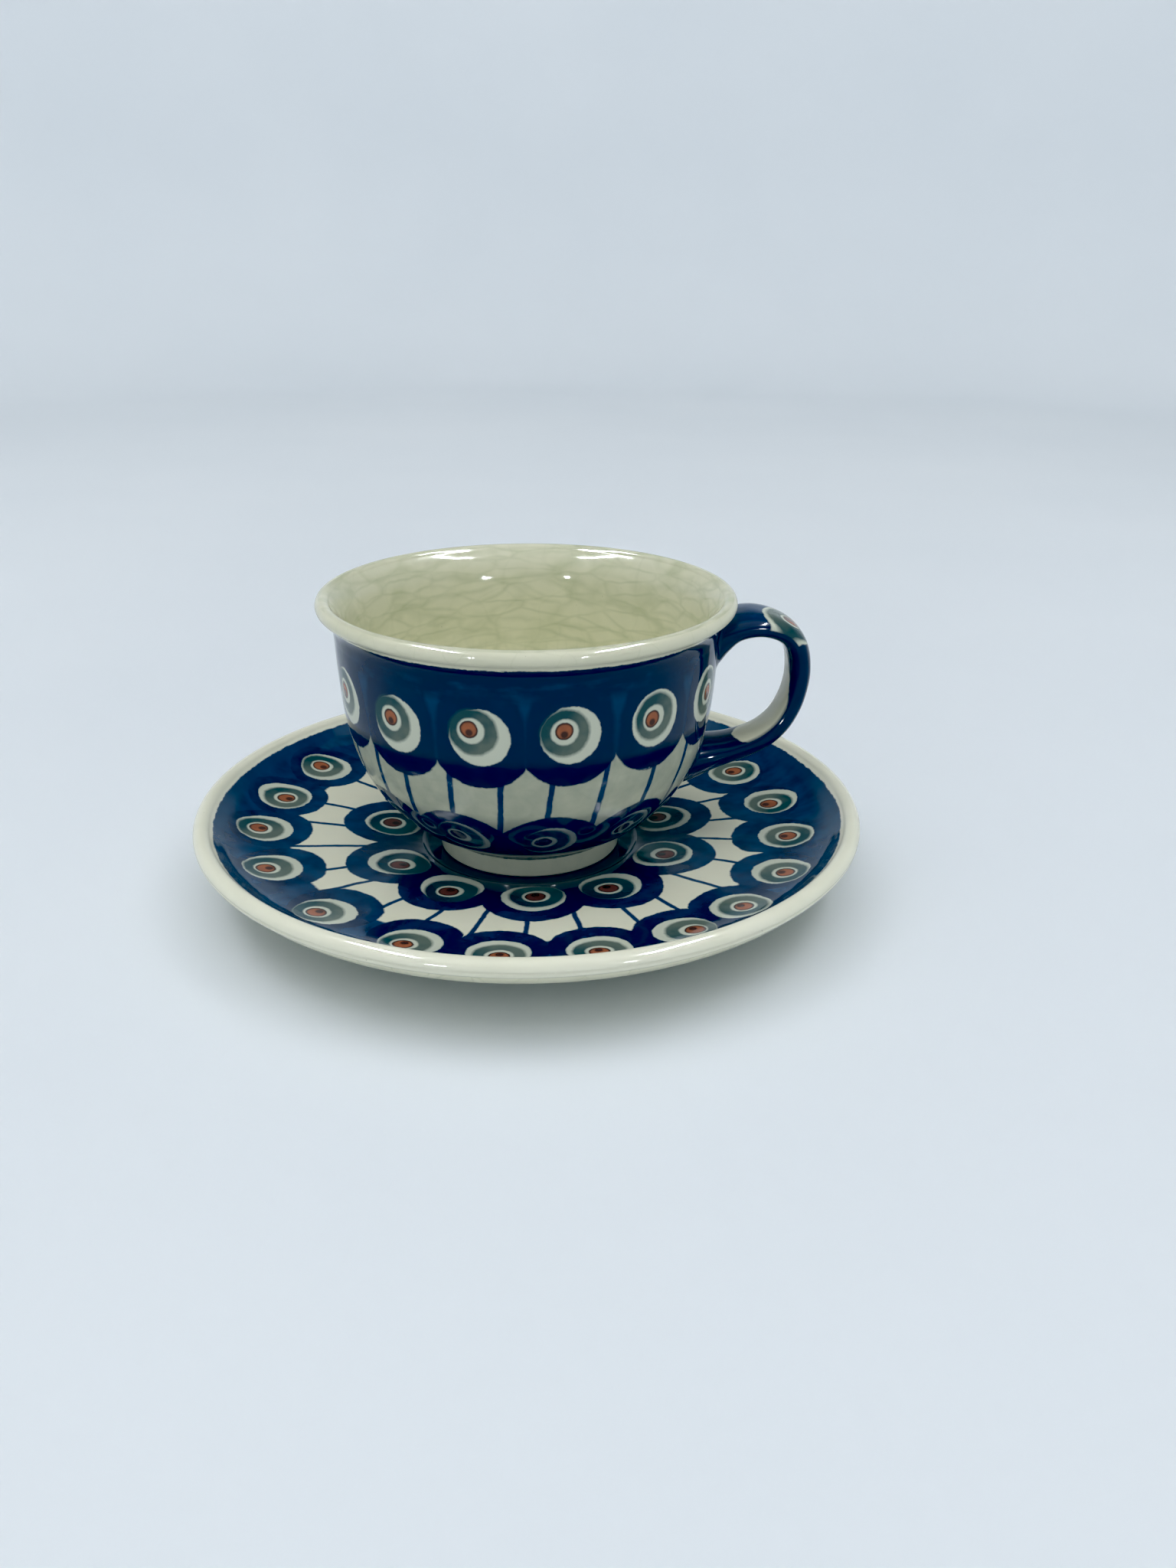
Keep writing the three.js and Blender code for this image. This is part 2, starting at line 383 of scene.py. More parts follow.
def build_slip(name, outline, root, towards, material):
    """The slip round one root of the strap: a hollow fillet from the wall to the strap. towards is
    1 or -1, the way along the strap's rows that leads out of the wall."""
    inside, outside = root if towards > 0 else reversed(root)
    places = [place_at_depth(outline, turn, inside, outside, 0.0) for turn in STRAP_TURNS]
    corners = [strap_point(place, turn) for place, turn in zip(places, STRAP_TURNS)]
    middle = sum(corners, Vector()) / STRAP_SIDES
    points = []
    for number, (place, turn, corner) in enumerate(zip(places, STRAP_TURNS, corners)):
        neighbour = corners[(number + 1) % STRAP_SIDES] - corners[number - 1]
        square = Vector((corner.x, corner.y, 0)).normalized()
        away = neighbour.cross(square).normalized()
        if away.dot(corner - middle) < 0:
            away = -away
        step = 0.02 * towards
        run = (strap_point(place + step, turn) - corner).length / abs(step)
        up = strap_point(place + towards * SLIP_ON_STRAP / run, turn)
        core = on_curve(STRAP_ROWS, place)
        heart = Vector((core[0], 0, core[1]))
        on_strap = up + (heart - up).normalized() * SLIP_SUNK
        foot = on_wall(outline, corner + away * SLIP_ON_WALL, -SLIP_SUNK)
        for i in range(SLIP_STEPS + 1):
            t = i / SLIP_STEPS
            points.append(foot * (1 - t) ** 2 + corner * (2 * t * (1 - t)) + on_strap * t * t)
        points.append(corner - square * SLIP_IN_WALL - away * SLIP_IN_STRAP)
    row = SLIP_STEPS + 2
    faces = []
    for side in range(STRAP_SIDES):
        after = (side + 1) % STRAP_SIDES
        for i in range(row):
            j = (i + 1) % row
            faces.append((side * row + i, after * row + i, after * row + j, side * row + j))
    return closed_piece(name, points, faces, material, {})


# ------------------------------------ fields of numbers in node trees

def plug(value, socket):
    """Sets a socket to a number or a colour, or links it to a field."""
    if isinstance(value, Field):
        value.tree.links.new(value.socket, socket)
    else:
        socket.default_value = value


class Field:
    """A number or a colour at every point of a surface, as the output of a node."""

    def __init__(self, tree, socket):
        self.tree = tree
        self.socket = socket

    def math(self, operation, *others, clamp=False):
        node = self.tree.nodes.new("ShaderNodeMath")
        node.operation = operation
        node.use_clamp = clamp
        for value, socket in zip((self, *others), node.inputs):
            plug(value, socket)
        return Field(self.tree, node.outputs[0])

    def __add__(self, other):
        return self.math("ADD", other)

    def __sub__(self, other):
        return self.math("SUBTRACT", other)

    def __mul__(self, other):
        return self.math("MULTIPLY", other)

    def __truediv__(self, other):
        return self.math("DIVIDE", other)

    def clamped(self, times=1.0, plus=0.0):
        """This field times one number plus another, kept between 0 and 1."""
        return self.math("MULTIPLY_ADD", times, plus, clamp=True)

    def below(self, limit, soft):
        """1 where this is well under a limit and 0 where it is over it, with a soft step between."""
        return self.clamped(-1 / soft, limit / soft + 0.5)

    def above(self, limit, soft):
        """1 where this is well over a limit and 0 where it is under it, with a soft step between."""
        return self.clamped(1 / soft, 0.5 - limit / soft)


def apart(across, along):
    """The distance from a centre, from its two parts."""
    return (across * across + along * along).math("SQRT")


class Surface:
    """A surface's coordinates and textures in millimetres, inside one material."""

    def __init__(self, tree):
        self.tree = tree
        self.place = self.node("ShaderNodeTexCoord").outputs["Object"]
        split = self.node("ShaderNodeSeparateXYZ")
        tree.links.new(self.place, split.inputs[0])
        x, y = (Field(tree, output) * (1 / MM) for output in split.outputs[:2])
        self.radius = apart(x, y)
        self.turn = (y.math("ARCTAN2", x) * (1 / TAU)).math("FRACT")
        self.east, self.north = x / self.radius, y / self.radius
        self.along = self.kept("along")

    def node(self, kind):
        return self.tree.nodes.new(kind)

    def kept(self, name):
        """A number that the mesh keeps at its points."""
        node = self.node("ShaderNodeAttribute")
        node.attribute_name = name
        return Field(self.tree, node.outputs["Fac"])

    def spot(self, size, seed=0.0):
        """The place as a vector that grows by one over a given size, moved by a seed."""
        node = self.node("ShaderNodeVectorMath")
        node.operation = "MULTIPLY_ADD"
        self.tree.links.new(self.place, node.inputs[0])
        node.inputs[1].default_value = [1 / (size * MM)] * 3
        node.inputs[2].default_value = (seed, seed * 1.7, -seed)
        return node.outputs[0]

    def noise(self, vector, detail):
        """Soft noise about zero, mostly between -1 and 1."""
        node = self.node("ShaderNodeTexNoise")
        self.tree.links.new(vector, node.inputs["Vector"])
        node.inputs["Scale"].default_value = 1.0
        node.inputs["Detail"].default_value = detail
        return Field(self.tree, node.outputs["Fac"]).math("MULTIPLY_ADD", 4.0, -2.0)

    def grain(self, size, seed=0.0, detail=2.0):
        """Noise of the same size in every direction."""
        return self.noise(self.spot(size, seed), detail)

    def stretched(self, around, along, seed, middle=50.0):
        """The place as a vector that grows by one over one size round a turned piece, at its middle
        radius, and over another along its outline."""
        node = self.node("ShaderNodeCombineXYZ")
        parts = (self.east * (middle / around), self.north * (middle / around),
                 self.along.math("MULTIPLY_ADD", 1 / along, seed))
        for part, socket in zip(parts, node.inputs):
            plug(part, socket)
        return node.outputs[0]

    def strokes(self, around, along, seed=0.0, middle=50.0):
        """Brush marks of one length round a turned piece and another along its outline."""
        return self.noise(self.stretched(around, along, seed, middle), 3.0)

    def cells(self, vector, feature, output="Distance"):
        """Voronoi cells: F1 for the distance to a cell's own point, DISTANCE_TO_EDGE for its edge."""
        node = self.node("ShaderNodeTexVoronoi")
        node.feature = feature
        self.tree.links.new(vector, node.inputs["Vector"])
        node.inputs["Scale"].default_value = 1.0
        return Field(self.tree, node.outputs[output])

    def warped(self, vector, size, bend, seed):
        """A vector pushed about by noise of a given size."""
        noise = self.node("ShaderNodeTexNoise")
        self.tree.links.new(self.spot(size, seed + 5), noise.inputs["Vector"])
        noise.inputs["Scale"].default_value = 1.0
        node = self.node("ShaderNodeVectorMath")
        node.operation = "MULTIPLY_ADD"
        self.tree.links.new(noise.outputs["Color"], node.inputs[0])
        node.inputs[1].default_value = (bend, bend, bend)
        self.tree.links.new(vector, node.inputs[2])
        return node.outputs[0]


class Paint:
    """Colours laid one over another."""

    def __init__(self, tree, colour):
        self.tree = tree
        self.colour = colour

    def lay(self, colour, cover):
        node = self.tree.nodes.new("ShaderNodeMix")
        node.data_type = "RGBA"
        factor, below, above = (node.inputs[i] for i in (0, 6, 7))
        plug(cover, factor)
        plug(self.colour, below)
        plug(colour, above)
        self.colour = Field(self.tree, node.outputs[2])


def blended(low, high, share):
    """A colour that runs from low to high as a field runs from 0 to 1."""
    paint = Paint(share.tree, low)
    paint.lay(high, share)
    return paint.colour


# ------------------------------------ rows of stamps at listed angles

# A lookup's colours hold numbers within half of one span either side of zero. The height of a row's
# curve holds its lag within half of the other span either side of the row's mean lag.
OFFSET_SPAN = 16.0
LAG_SPAN = 4.0


def lookup(surface, index, triples):
    """Three fields, from a list that holds three numbers for each stamp."""
    count = len(triples)
    node = surface.node("ShaderNodeValToRGB")
    ramp = node.color_ramp
    ramp.interpolation = "CONSTANT"
    ramp.elements.remove(ramp.elements[1])
    for number, values in enumerate(triples):
        element = ramp.elements[0] if number == 0 else ramp.elements.new(number / count)
        element.position = number / count
        element.color = (*(0.5 + value / OFFSET_SPAN for value in values), 1.0)
    plug((index + 0.5) / count, node.inputs[0])
    split = surface.node("ShaderNodeSeparateColor")
    surface.tree.links.new(node.outputs["Color"], split.inputs[0])
    return [Field(surface.tree, out).math("MULTIPLY_ADD", OFFSET_SPAN, -OFFSET_SPAN / 2)
            for out in split.outputs]


class Row:
    """A row of stamps round a turned piece. At each point it gives the nearest stamp's number and the
    distance round from that stamp's middle."""

    def __init__(self, surface, angles):
        self.surface = surface
        self.count = len(angles)
        turns = [angle / 360 % 1 for angle in angles]
        self.order = sorted(range(self.count), key=turns.__getitem__)
        places = sorted(turns)
        index = (surface.turn * self.count + self.lag(places)).math("ROUND")
        self.index = (index + self.count).math("MODULO", self.count)
        place = lookup(surface, self.index, [(place, 0, 0) for place in places])[0]
        offset = (surface.turn - place + 0.5).math("FRACT") - 0.5
        self.across = offset * surface.radius * TAU

    def lag(self, places):
        """How far the listed stamps run ahead of an even spacing, in spacings."""
        lags = [number - self.count * place for number, place in enumerate(places)]
        node = self.surface.node("ShaderNodeFloatCurve")
        curve = node.mapping.curves[0]
        before, after = places[-1] - 1, places[0]
        seam = lags[-1] + (lags[0] - lags[-1]) * -before / (after - before)
        knots = [(0.0, seam), *zip(places, lags), (1.0, seam)]
        middle = sum(lags) / self.count
        while len(curve.points) < len(knots):
            curve.points.new(0.5, 0.5)
        for point, (place, value) in zip(curve.points, knots):
            point.location = (place, 0.5 + (value - middle) / LAG_SPAN)
            point.handle_type = "VECTOR"
        node.mapping.update()
        node.inputs["Factor"].default_value = 1.0
        plug(self.surface.turn, node.inputs["Value"])
        ahead = Field(self.surface.tree, node.outputs[0])
        return ahead.math("MULTIPLY_ADD", LAG_SPAN, middle - LAG_SPAN / 2)

    def own(self, triples):
        """Each stamp's own three numbers, given in the order of the angles."""
        return lookup(self.surface, self.index, [triples[i] for i in self.order])


def all_round(seen, count, fill):
    """A row's stamps, with the rest filled in evenly between the last one and the first."""
    first, last = seen[0][0] + 360, seen[-1][0]
    missing = count - len(seen)
    step = (first - last) / (missing + 1)
    return seen + [(last + step * (i + 1), *fill()) for i in range(missing)]


def free_hand(seed):
    """A maker of eyes whose rings and dots sit a little off centre."""
    draw = random.Random(seed)

    def fill():
        ring = draw.uniform(-1.4, 0.8), draw.uniform(-0.3, 1.1)
        dot = ring[0] * 1.4 + draw.uniform(-0.3, 0.3), ring[1] * 1.4 + draw.uniform(-0.3, 0.3)
        return ring, dot, draw.uniform(-0.6, 0.5)

    return fill


# Each eye: its angle, how far its ring and its dot sit round and along from its white disc, and how
# far the disc itself sits along from its row.
CUP_UPPER_EYES = all_round([
    (-156.0, (-1.0, 0.7), (-1.5, 0.9), 0.3), (-129.6, (-1.4, 0.9), (-1.6, 1.3), -0.6),
    (-103.6, (-1.3, 1.15), (-2.1, 1.8), -0.5), (-78.5, (-1.3, 0.6), (-1.5, 1.1), 0.0),
    (-52.0, (-0.3, 0.5), (-1.1, 0.1), 0.6), (-25.8, (0.8, 0.2), (1.0, 0.1), 0.6),
], 14, free_hand(3))
CUP_LOWER_EYES = all_round([
    (-115.2, (-0.6, 0.3), (-0.9, 0.9), 0.2), (-82.8, (-1.0, 0.1), (-1.5, 0.2), 0.0),
    (-51.6, (-0.8, 0.1), (-1.3, 0.2), 0.3),
], 12, free_hand(5))
SAUCER_OUTER_EYES = all_round([
    (-212.4, (0.2, 1.0), (0.0, 1.6), 1.0), (-194.5, (0.5, -0.5), (0.6, -0.8), 0.9),
    (-177.5, (0.3, 0.9), (0.0, 1.4), 0.5), (-158, (-0.2, 0.9), (0.0, 1.5), -0.4),
    (-134.5, (-0.9, 1.0), (-0.9, 1.5), -1.0), (-113, (-0.6, 0.9), (-0.9, 1.3), -0.1),
    (-96, (0.2, 0.7), (0.3, 1.1), 0.3), (-77.5, (-0.2, 0.7), (-0.3, 1.0), 0.4),
    (-60, (1.1, 0.6), (1.9, 0.9), 0.5), (-45, (0.4, 0.2), (0.3, 0.4), 0.5),
    (-27, (-0.6, 0.8), (-0.5, 1.1), 0.3), (-9, (-0.3, 0.4), (-0.4, 0.4), -1.3),
    (9.5, (-0.9, -0.4), (-1.1, -0.9), -1.4), (28, (0.6, 0.3), (1.0, 0.4), -1.4),
], 19, free_hand(7))
SAUCER_INNER_EYES = all_round([
    (-189.5, (0.7, 0.0), (0.3, 0.4), -0.6), (-151.5, (1.2, -0.6), (1.5, 0.5), 0.1),
    (-121, (1.0, 1.6), (0.7, 2.0), 0.0), (-89, (0.7, -1.0), (0.4, -0.8), 0.6),
    (-59, (-1.2, 0.7), (-1.1, 0.7), 0.4), (-24, (0.5, -0.5), (-0.2, 0.6), -0.3),
    (11, (0.6, -0.5), (0.8, -1.0), -0.9),
], 11, free_hand(11))
CUP_STEMS = all_round([(angle,) for angle in (
    -142, -129.8, -114.2, -98.8, -84.2, -68.5, -51, -36,
)], 24, tuple)
SAUCER_STEMS = all_round([(angle,) for angle in (
    -212, -195, -183, -168.5, -154, -143, -128, -115, -103, -91, -78.5, -65, -54, -39, -24.5, -10.5,
    3, 17,
)], 27, tuple)

# A row's layout: the distances along the outline of its lobes' and its eyes' middles, the lobes'
# radius, and the radii of an eye's white disc, its ring, its small disc and its dot.
CUP_UPPER_ROW = (50.6, 51.2, 11.5, (6.5, 5.35, 2.95, 2.0))
CUP_LOWER_ROW = (17.5, 20.7, 13.0, (6.2, 5.6, 2.8, 2.0))
SAUCER_OUTER_ROW = (62.9, 64.6, 10.3, (6.8, 5.6, 3.0, 2.3))
SAUCER_INNER_ROW = (35.0, 35.4, 13.0, (7.2, 6.2, 3.15, 2.4))

# Where the paint starts and ends along the bowl, the saucer's outer field and the strap's bare inner
# face. The bowl's navy band starts under its rim, and the saucer's well is navy up to its edge.
CUP_PAINT = (4.2, 66.1)
CUP_BAND = 62.8
SAUCER_PAINT = (58.3, 77.4)
SAUCER_WELL_EDGE = 28.2
STRAP_BARE = (22, 49.8)

# The strap's own eye: its place across and along the strap, and its radii.
STRAP_EYE = (-2.4, 18.1, (7.2, 6.3, 2.9, 2.3))

# The colours of an eye's ring, where it is thin and where it is thick, and of its dot.
UPPER_TONES = (GREY_GREEN, DARK_GREEN, ORANGE)
DEEP_TONES = (DEEP_RING, DEEP_RING_EDGE, MAROON)


def paint_eye(paint, across, along, ring_at, dot_at, radii, tones, wobble, faded):
    """An eye: a white disc, a grey-green ring set off centre, a small white disc and a rusty dot."""
    white, ring, inner, dot = radii
    pale, deep, rust = tones
    ring_across, ring_along = across - ring_at[0], along - ring_at[1]
    dot_across, dot_along = across - dot_at[0], along - dot_at[1]
    inner_across = (ring_across + dot_across) * 0.5
    inner_along = (ring_along + dot_along) * 0.5
    paint.lay(EYE_WHITE, (apart(across, along) + wobble).below(white, 0.3))
    tone = ((along - across) * 0.1 + faded * 0.3).clamped(1.0, 0.4)
    from_ring = apart(ring_across, ring_along) + wobble * 0.8
    paint.lay(blended(pale, deep, tone), from_ring.below(ring, 0.8))
    paint.lay(EYE_WHITE, (apart(inner_across, inner_along) + wobble * 0.6).below(inner, 0.45))
    from_dot = apart(dot_across, dot_along) + wobble * 0.5
    paint.lay(DOT_EDGE, from_dot.below(dot, 0.25))
    mottled = blended(rust, DOT_EDGE, faded.clamped(0.25, 0.12))
    paint.lay(mottled, from_dot.below(dot - 0.42, 0.4))
    from_speck = apart(dot_across, dot_along + dot * 0.38)
    paint.lay(DOT_EDGE, from_speck.below(dot * 0.4, 0.4) * 0.92)


def paint_lobes(paint, surface, row, middle, radius, wobble, tone, pale=COBALT):
    """The dark round lobe round each stamp of a row. tone runs from the paler blue at 0 to navy at 1."""
    from_middle = apart(row.across, surface.along - middle) + wobble
    paint.lay(blended(pale, NAVY, tone), from_middle.below(radius, 0.35))


def shifts(row, eyes):
    """How far each stamp of a row sits along from the row."""
    return row.own([(eye[3], 0, 0) for eye in eyes])[0]


def paint_eyes(paint, surface, row, eyes, middle, radii, tones, wobble, faded):
    """The eye of each stamp of a row, at a distance along the outline."""
    ring_at = row.own([(*eye[1], eye[3]) for eye in eyes])
    dot_at = row.own([(*eye[2], 0) for eye in eyes])
    along = surface.along - ring_at[2] - middle
    paint_eye(paint, row.across, along, ring_at, dot_at, radii, tones, wobble, faded)


def paint_stems(paint, surface, stems, lean, middle, width, reach):
    """Thin brushed lines that lean a little about a middle, between the two distances along the
    outline that reach gives."""
    row = Row(surface, [stem[0] for stem in stems])
    unsteady = surface.grain(5, 9) * 0.2 + surface.grain(1.2, 10) * 0.06
    off = (row.across + (surface.along - middle) * -lean + unsteady).math("ABSOLUTE")
    within = surface.along.above(reach[0], 0.3) * surface.along.below(reach[1], 0.3)
    load = surface.grain(4, 11).clamped(0.25, 0.3)
    paint.lay(blended(STEM_BLUE, COBALT, load), off.below(width / 2, 0.3) * within)


# ------------------------------------ materials

GLAZE_ROUGHNESS = 0.07
GLAZE_IOR = 1.5
GLAZE_SPECULAR = 0.2
FINE_RIPPLE = 0.0015
CLAY_ROUGHNESS = 0.85
PAPER_ROUGHNESS = 0.6


def new_material(name, roughness):
    """A material with the standard shader, and that shader."""
    material = bpy.data.materials.new(name)
    material.use_nodes = True
    shader = material.node_tree.nodes["Principled BSDF"]
    shader.inputs["Roughness"].default_value = roughness
    return material, shader


def raise_bumps(shader, height):
    """Bumps whose height is a field in millimetres."""
    bump = height.tree.nodes.new("ShaderNodeBump")
    bump.inputs["Distance"].default_value = MM
    plug(height, bump.inputs["Height"])
    height.tree.links.new(bump.outputs[0], shader.inputs["Normal"])


class Glaze:
    """A clear, glossy glaze over pale clay and what is painted on it, with soft ripples."""

    def __init__(self, name, ripple=0.03, clay=CREAM, shade=CREAM_SHADE):
        self.material, self.shader = new_material(name, GLAZE_ROUGHNESS)
        self.shader.inputs["IOR"].default_value = GLAZE_IOR
        self.shader.inputs["Specular IOR Level"].default_value = GLAZE_SPECULAR
        self.surface = Surface(self.material.node_tree)
        fine = self.surface.grain(0.9, 22, 1.0) * FINE_RIPPLE
        raise_bumps(self.shader, self.surface.grain(7, 21, 1.0) * ripple + fine)
        self.paint = Paint(self.surface.tree, clay)
        self.paint.lay(shade, self.surface.grain(14, 31).clamped(0.22, 0.25))

    def specks(self):
        """Small iron specks, each a fraction of a millimetre wide."""
        spot = self.surface.spot(2.8, 41)
        near = self.surface.cells(spot, "F1").below(0.03, 0.035)
        chosen = self.surface.cells(spot, "F1", "Color").above(0.5, 0.01)
        self.paint.lay(SPECK, near * chosen * 0.7)

    def crackle(self, size, width, strength, seed):
        """A net of fine greenish lines under the glaze."""
        bent = self.surface.warped(self.surface.spot(size, seed), size * 1.6, 0.9, seed)
        edge = self.surface.cells(bent, "DISTANCE_TO_EDGE")
        patchy = self.surface.grain(size * 2.5, seed + 3).clamped(0.4, 0.55)
        self.paint.lay(CRACKLE, edge.below(width / size, width / size * 1.6) * patchy * strength)

    def runs(self, around, along, strength, seed, where=1.0):
        """A net of soft greenish lines where the glaze ran, longer one way than the other."""
        bent = self.surface.warped(self.surface.stretched(around, along, seed), 12, 0.8, seed)
        edge = self.surface.cells(bent, "DISTANCE_TO_EDGE")
        patchy = self.surface.grain(10, seed + 3).clamped(0.4, 0.6)
        cloud = self.surface.grain(5, seed + 7).clamped(0.4, 0.2) * 0.25
        self.paint.lay(CRACKLE, (edge.below(0.04, 0.16) * patchy + cloud).clamped(strength) * where)

    def finished(self):
        plug(self.paint.colour, self.shader.inputs["Base Color"])
        return self.material


def bowl_outside_glaze():
    """The painted outside of the bowl, from its foot to its cream rim."""
    glaze = Glaze("painted_bowl")
    surface, paint = glaze.surface, glaze.paint
    glaze.crackle(9, 0.12, 0.15, 61)
    glaze.specks()
    jagged = surface.grain(0.8, 5) * 0.08
    wobble = surface.grain(2.2, 1) * 0.14 + surface.grain(9, 2) * 0.16 + jagged
    faded = surface.grain(3.2, 3)
    streaks = surface.strokes(9, 1.6, 4)
    drawn = surface.along + wobble
    start, end = CUP_PAINT
    # A grey-green veil below the upper lobes: partly real staining, partly painted shade on the lower
    # body.
    shaded = surface.along.below(46, 4) * surface.along.above(start, 0.5).clamped(0.4, 0.6)
    paint.lay(STAIN_AND_SHADE, faded.clamped(0.12, 0.72) * shaded)
    paint_stems(paint, surface, CUP_STEMS, lean=0.09, middle=34, width=1.35, reach=(4, 60))

    # The upper row: a blue field, dark lobes over its lower edge, and thin blue over their tops.
    lobes, eyes, radius, radii = CUP_UPPER_ROW
    upper = Row(surface, [eye[0] for eye in CUP_UPPER_EYES])
    field = blended(TEAL_BLUE, NAVY, (faded * 0.3 + streaks * 0.35).clamped(0.8, 0.96))
    paint.lay(field, drawn.above(lobes, 0.5) * drawn.below(end, 0.3))
    dark = surface.along.below(47, 10) * 0.5 + faded * 0.2
    middle = shifts(upper, CUP_UPPER_EYES) + lobes
    paint_lobes(paint, surface, upper, middle, radius, wobble, dark.clamped(1.0, 0.35))
    top = surface.along.above(58.5, 4.0) * 0.5
    paint.lay(field, top * drawn.below(end, 0.3))

    # Pale marks between the lobes, wider towards the rim, and a navy band under it.
    widening = (surface.along - 53).math("MAXIMUM", 0.0) * 0.22
    between = (upper.across.math("ABSOLUTE") + widening + faded * 0.3).above(9.7, 1.0)
    height = surface.along.above(43.5, 2.5) * surface.along.below(59.0, 2.5)
    paint.lay(TEAL_BLUE, between * height * surface.along.above(55, 12).clamped(0.5, 0.3))
    # The navy band under the rim is partly brushwork, partly painted shadow and reflection under its
    # flare.
    band = (surface.along + streaks * 0.6).above(CUP_BAND, 1.0)
    paint.lay(NAVY, band * (surface.along + streaks * 0.3 + jagged * 2).below(end, 0.35))
    paint_eyes(paint, surface, upper, CUP_UPPER_EYES, eyes, radii, UPPER_TONES, wobble, faded)

    # The lower row, whose lobes and eyes darken towards the foot under a veil of painted shade.
    lobes, eyes, radius, radii = CUP_LOWER_ROW
    lower = Row(surface, [eye[0] for eye in CUP_LOWER_EYES])
    dark = surface.along.below(27, 4) * 0.5 + faded * 0.2
    paint_lobes(paint, surface, lower, lobes, radius, wobble, dark.clamped(1.0, 0.5))
    paint.lay(NAVY, drawn.above(start, 0.25) * drawn.below(18, 1.5))
    paint_eyes(paint, surface, lower, CUP_LOWER_EYES, eyes, radii, DEEP_TONES, wobble, faded)
    # A thin navy veil over the belly and the lower eyes: painted shade under the cup's belly.
    paint.lay(NAVY, surface.along.below(28, 6) * drawn.above(start, 0.25) * 0.7)
    return glaze.finished()


def bowl_inside_glaze():
    """The cream inside of the bowl, with greenish lines where its glaze ran and pooled."""
    glaze = Glaze("cream_bowl", ripple=0.05)
    # Deeper in the bowl the cream turns darker and warmer: painted shade and bounced light.
    glaze.paint.lay(DEEP_BOWL_SHADE, glaze.surface.along.above(86, 20) * 0.9)
    low = glaze.surface.along.above(104, 14)
    glaze.runs(17, 3.6, 0.42, 71)
    glaze.runs(30, 7, 0.4, 77)
    glaze.runs(3.2, 16, 0.55, 83, low)
    glaze.crackle(11, 0.3, 0.1, 95)
    glaze.specks()
    return glaze.finished()


def saucer_top_glaze():
    """The painted top of the saucer and its cream lip."""
    # The saucer's top is a paler copy of the cream that its underside has: painted light.
    glaze = Glaze("painted_saucer", clay=LIT_CREAM, shade=LIT_CREAM_MOTTLE)
    surface, paint = glaze.surface, glaze.paint
    glaze.specks()
    wobble = surface.grain(2.4, 1) * 0.16 + surface.grain(10, 2) * 0.2 + surface.grain(0.8, 5) * 0.08
    faded = surface.grain(4.5, 3)
    streaks = surface.strokes(4, 9, 4, middle=64)
    rim_strokes = surface.strokes(8, 1.8, 6, middle=70)
    drawn = surface.along + wobble
    # Inside the lip the cream goes most of the way back to the plain cream, so the painted light is
    # strongest on the lip.
    paint.lay(CREAM, surface.along.below(62, 4) * 0.6)
    paint_stems(paint, surface, SAUCER_STEMS, lean=-0.06, middle=51, width=1.15, reach=(30, 70))

    # The outer row, in a blue field that is paler near the lip. Lobes darken towards -Y: painted shade.
    start, end = SAUCER_PAINT
    lobes, eyes, radius, radii = SAUCER_OUTER_ROW
    outer = Row(surface, [eye[0] for eye in SAUCER_OUTER_EYES])
    field = blended(TEAL_BLUE, COBALT, (faded * 0.4 + streaks * 0.4).clamped(1.0, 0.45))
    paint.lay(field, drawn.above(start, 0.6) * drawn.below(end, 0.3))
    shaded_front = surface.north.below(-0.7, 0.5) * 0.4
    dark = surface.along.below(60, 8) * -0.4 + faded * 0.4 + shaded_front
    middle = shifts(outer, SAUCER_OUTER_EYES).math("MULTIPLY_ADD", 2.0, lobes)
    paint_lobes(paint, surface, outer, middle, radius, wobble, dark.clamped(1.0, 0.8), TEAL_BLUE)
    near_lip = (surface.along + rim_strokes * 0.8).above(74.2, 2.0)
    paint.lay(TEAL_BLUE, near_lip * drawn.below(end, 0.3) * 0.6)
    paint_eyes(paint, surface, outer, SAUCER_OUTER_EYES, eyes, radii, UPPER_TONES, wobble, faded)

    # The inner row, round a navy well.
    lobes, eyes, radius, radii = SAUCER_INNER_ROW
    inner = Row(surface, [eye[0] for eye in SAUCER_INNER_EYES])
    # The inner lobes darken towards -Y too: painted shade.
    dark = surface.along.below(41, 7) * 0.6 + faded * 0.35 + shaded_front
    middle = shifts(inner, SAUCER_INNER_EYES) + lobes
    paint_lobes(paint, surface, inner, middle, radius, wobble, dark.clamped(1.0, 0.4), TEAL_BLUE)
    paint.lay(NAVY, drawn.below(lobes, 0.8))
    paint_eyes(paint, surface, inner, SAUCER_INNER_EYES, eyes, radii, DEEP_TONES, wobble, faded)
    paint.lay(NAVY, drawn.below(SAUCER_WELL_EDGE, 1.2) * 0.85)
    return glaze.finished()


def plain_glaze():
    """The cream glaze under the saucer and inside the feet."""
    glaze = Glaze("cream_underside")
    glaze.crackle(8, 0.15, 0.3, 91)
    glaze.specks()
    return glaze.finished()


